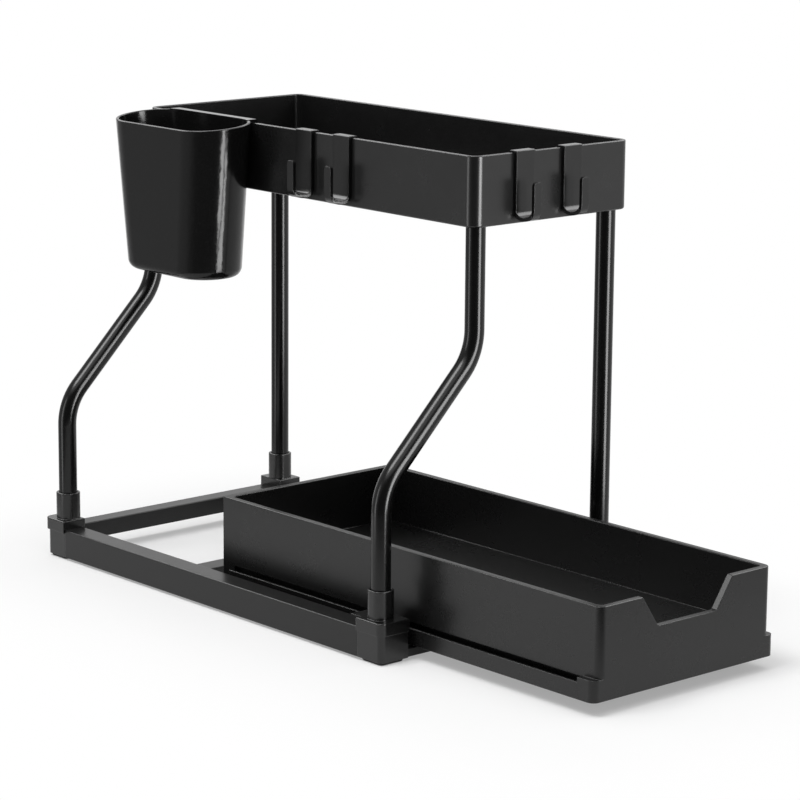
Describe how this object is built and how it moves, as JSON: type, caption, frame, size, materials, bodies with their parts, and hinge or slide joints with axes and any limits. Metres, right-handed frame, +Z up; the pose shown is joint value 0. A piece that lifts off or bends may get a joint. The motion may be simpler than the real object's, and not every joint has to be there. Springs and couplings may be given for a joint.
{
  "type": "under sink organizer",
  "caption": "Pull-out organizer for under a sink: an open tray on tube posts that lean round the drain, a drawer below, a hanging cup and hooks.",
  "frame": {"origin": "on the floor, under the middle of the organizer's box with the drawer as it stands in the resting pose", "axes": "+Z up, -Y the way the drawer pulls out, +X to the right, away from the hanging cup"},
  "size_m": [0.219, 0.5284, 0.3217],
  "materials": {
    "frame_plastic": "fine-grained black moulded plastic",
    "corner_plastic": "satin black moulded plastic",
    "tube_steel": "smooth semi-gloss black powder coat",
    "tray_plastic": "satin black moulded plastic",
    "drawer_plastic": "satin black moulded plastic",
    "cup_plastic": "semi-gloss black moulded plastic",
    "hook_plastic": "satin black moulded plastic",
    "foot_rubber": "matt black soft pad",
    "plug_plastic": "black nylon",
    "screw_steel": "zinc-plated steel"
  },
  "bodies": {
    "base": {"left_rail": "frame_plastic", "right_rail": "frame_plastic", "rear_bar": "frame_plastic", "middle_bar": "frame_plastic", "front_bar": "frame_plastic", "foot_pads": "foot_rubber", "tube_plugs": "plug_plastic", "post_screws": "screw_steel", "left_drawer_guide": "frame_plastic", "right_drawer_guide": "frame_plastic", "top_tray": "tray_plastic", "front_left_corner": "corner_plastic", "front_left_socket": "corner_plastic", "front_left_post": "tube_steel", "front_right_corner": "corner_plastic", "front_right_socket": "corner_plastic", "front_right_post": "tube_steel", "rear_left_corner": "corner_plastic", "rear_left_socket": "corner_plastic", "rear_left_post": "tube_steel", "rear_right_corner": "corner_plastic", "rear_right_socket": "corner_plastic", "rear_right_post": "tube_steel"},
    "drawer": {"drawer": "drawer_plastic"},
    "cup": {"hanging_cup": "cup_plastic"},
    "rear_side_hook": {"rear_side_hook": "hook_plastic"},
    "front_side_hook": {"front_side_hook": "hook_plastic"},
    "left_front_hook": {"left_front_hook": "hook_plastic"},
    "right_front_hook": {"right_front_hook": "hook_plastic"}
  },
  "joints": [
    {"name": "drawer_slide", "type": "slide", "parent": "base", "child": "drawer", "axis": [0, -1, 0], "range_m": [-0.148, 0.14]},
    {"name": "cup_lift", "type": "slide", "parent": "base", "child": "cup", "axis": [0, 0, 1], "range_m": [0, 0.12]},
    {"name": "rear_side_hook_slide", "type": "slide", "parent": "base", "child": "rear_side_hook", "axis": [0, 1, 0], "range_m": [-0.0108, 0.033]},
    {"name": "front_side_hook_slide", "type": "slide", "parent": "base", "child": "front_side_hook", "axis": [0, 1, 0], "range_m": [-0.11, 0.0108]},
    {"name": "left_front_hook_slide", "type": "slide", "parent": "base", "child": "left_front_hook", "axis": [1, 0, 0], "range_m": [-0.025, 0.0128]},
    {"name": "right_front_hook_slide", "type": "slide", "parent": "base", "child": "right_front_hook", "axis": [1, 0, 0], "range_m": [-0.0128, 0.038]}
  ]
}
